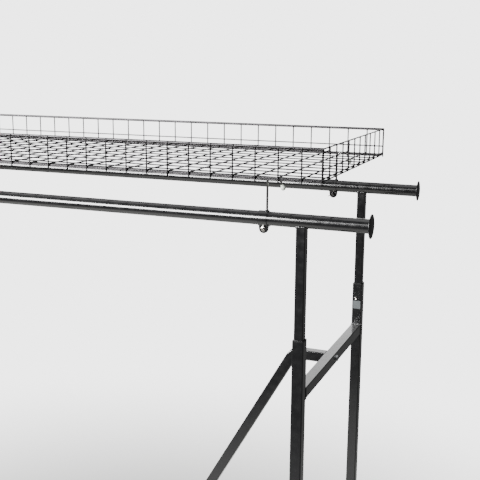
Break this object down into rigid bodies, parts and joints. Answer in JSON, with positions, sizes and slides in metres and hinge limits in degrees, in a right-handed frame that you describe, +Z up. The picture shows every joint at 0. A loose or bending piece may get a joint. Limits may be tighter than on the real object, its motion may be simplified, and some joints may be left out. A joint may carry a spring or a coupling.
{
  "type": "rolling clothes rack",
  "caption": "Height-adjustable garment rack on swivel casters: square telescoping posts, parallel round hanging rails, a wire top basket on hooked rods, and bent braces to the base bar.",
  "frame": {"origin": "on the floor under the centre of the rack, at the bottom centre of its overall box", "axes": "+X along the hanging rails to the right, +Y from the front rail to the rear rail, +Z up"},
  "size_m": [1.8248, 0.618, 1.7558],
  "materials": {
    "black_paint": "gloss black powder coat",
    "black_plastic": "moulded black plastic",
    "zinc_steel": "zinc-plated steel",
    "bright_screw": "bright nickel plate",
    "grey_rubber": "dark grey non-marking rubber",
    "pale_plastic": "pale grey-green moulded plastic",
    "dark_wire": "black nickel-plated welded wire"
  },
  "bodies": {
    "base_frame": {"end_bar_left": "black_paint", "end_bar_right": "black_paint", "end_bar_plugs": "black_plastic", "base_sockets": "black_paint", "base_long_bar": "black_paint", "base_bolts": "zinc_steel", "outer_post_front_left": "black_paint", "outer_post_front_right": "black_paint", "outer_post_rear_left": "black_paint", "outer_post_rear_right": "black_paint", "post_guides": "black_plastic", "cross_bar_left": "black_paint", "cross_bar_right": "black_paint", "brace_left": "black_paint", "brace_right": "black_paint", "brace_inserts": "zinc_steel", "brace_bolts": "zinc_steel", "foot_brackets": "black_paint", "caster_stems": "zinc_steel"},
    "sliding_rack": {"hang_rail_front": "black_paint", "hang_rail_rear": "black_paint", "rail_caps": "black_plastic", "upright_front_left": "black_paint", "upright_front_right": "black_paint", "upright_rear_left": "black_paint", "upright_rear_right": "black_paint", "upright_guides": "black_plastic", "rail_clamps": "black_paint", "clamp_bolts": "bright_screw", "wing_nuts": "bright_screw", "basket_hooks": "bright_screw", "hook_balls": "pale_plastic", "basket_floor": "dark_wire", "basket_wall_front": "dark_wire", "basket_wall_rear": "dark_wire", "basket_wall_left": "dark_wire", "basket_wall_right": "dark_wire"},
    "screw_front_left": {"height_screw_front_left": "bright_screw"},
    "caster_front_left": {"caster_fork_front_left": "zinc_steel", "caster_axle_front_left": "zinc_steel"},
    "wheel_front_left": {"caster_wheel_front_left": "black_plastic", "caster_tyre_front_left": "grey_rubber"},
    "brake_front_left": {"brake_lever_front_left": "black_plastic"},
    "screw_front_right": {"height_screw_front_right": "bright_screw"},
    "caster_front_right": {"caster_fork_front_right": "zinc_steel", "caster_axle_front_right": "zinc_steel"},
    "wheel_front_right": {"caster_wheel_front_right": "black_plastic", "caster_tyre_front_right": "grey_rubber"},
    "brake_front_right": {"brake_lever_front_right": "black_plastic"},
    "screw_rear_left": {"height_screw_rear_left": "bright_screw"},
    "caster_rear_left": {"caster_fork_rear_left": "zinc_steel", "caster_axle_rear_left": "zinc_steel"},
    "wheel_rear_left": {"caster_wheel_rear_left": "black_plastic", "caster_tyre_rear_left": "grey_rubber"},
    "screw_rear_right": {"height_screw_rear_right": "bright_screw"},
    "caster_rear_right": {"caster_fork_rear_right": "zinc_steel", "caster_axle_rear_right": "zinc_steel"},
    "wheel_rear_right": {"caster_wheel_rear_right": "black_plastic", "caster_tyre_rear_right": "grey_rubber"}
  },
  "joints": [
    {"name": "height_slide", "type": "slide", "parent": "base_frame", "child": "sliding_rack", "axis": [0, 0, 1], "range_m": [-0.21, 0.22]},
    {"name": "screw_turn_front_left", "type": "hinge", "parent": "base_frame", "child": "screw_front_left", "pos_m": [-0.758, -0.2465, 1.299], "axis": [0, 1, 0], "range_deg": [0, 450]},
    {"name": "caster_swivel_front_left", "type": "hinge", "parent": "base_frame", "child": "caster_front_left", "pos_m": [-0.762, -0.285, 0.09], "axis": [0, 0, 1], "continuous": true},
    {"name": "wheel_roll_front_left", "type": "hinge", "parent": "caster_front_left", "child": "wheel_front_left", "pos_m": [-0.79, -0.285, 0.0375], "axis": [0, 1, 0], "continuous": true},
    {"name": "brake_press_front_left", "type": "hinge", "parent": "caster_front_left", "child": "brake_front_left", "pos_m": [-0.796, -0.285, 0.08], "axis": [0, 1, 0], "range_deg": [-15, 0]},
    {"name": "screw_turn_front_right", "type": "hinge", "parent": "base_frame", "child": "screw_front_right", "pos_m": [0.758, -0.2465, 1.299], "axis": [0, 1, 0], "range_deg": [0, 450]},
    {"name": "caster_swivel_front_right", "type": "hinge", "parent": "base_frame", "child": "caster_front_right", "pos_m": [0.762, -0.285, 0.09], "axis": [0, 0, 1], "continuous": true},
    {"name": "wheel_roll_front_right", "type": "hinge", "parent": "caster_front_right", "child": "wheel_front_right", "pos_m": [0.734, -0.285, 0.0375], "axis": [0, 1, 0], "continuous": true},
    {"name": "brake_press_front_right", "type": "hinge", "parent": "caster_front_right", "child": "brake_front_right", "pos_m": [0.728, -0.285, 0.08], "axis": [0, 1, 0], "range_deg": [-15, 0]},
    {"name": "screw_turn_rear_left", "type": "hinge", "parent": "base_frame", "child": "screw_rear_left", "pos_m": [-0.758, 0.2465, 1.299], "axis": [0, -1, 0], "range_deg": [0, 450]},
    {"name": "caster_swivel_rear_left", "type": "hinge", "parent": "base_frame", "child": "caster_rear_left", "pos_m": [-0.762, 0.285, 0.09], "axis": [0, 0, 1], "continuous": true},
    {"name": "wheel_roll_rear_left", "type": "hinge", "parent": "caster_rear_left", "child": "wheel_rear_left", "pos_m": [-0.79, 0.285, 0.0375], "axis": [0, 1, 0], "continuous": true},
    {"name": "screw_turn_rear_right", "type": "hinge", "parent": "base_frame", "child": "screw_rear_right", "pos_m": [0.758, 0.2465, 1.299], "axis": [0, -1, 0], "range_deg": [0, 450]},
    {"name": "caster_swivel_rear_right", "type": "hinge", "parent": "base_frame", "child": "caster_rear_right", "pos_m": [0.762, 0.285, 0.09], "axis": [0, 0, 1], "continuous": true},
    {"name": "wheel_roll_rear_right", "type": "hinge", "parent": "caster_rear_right", "child": "wheel_rear_right", "pos_m": [0.734, 0.285, 0.0375], "axis": [0, 1, 0], "continuous": true}
  ]
}
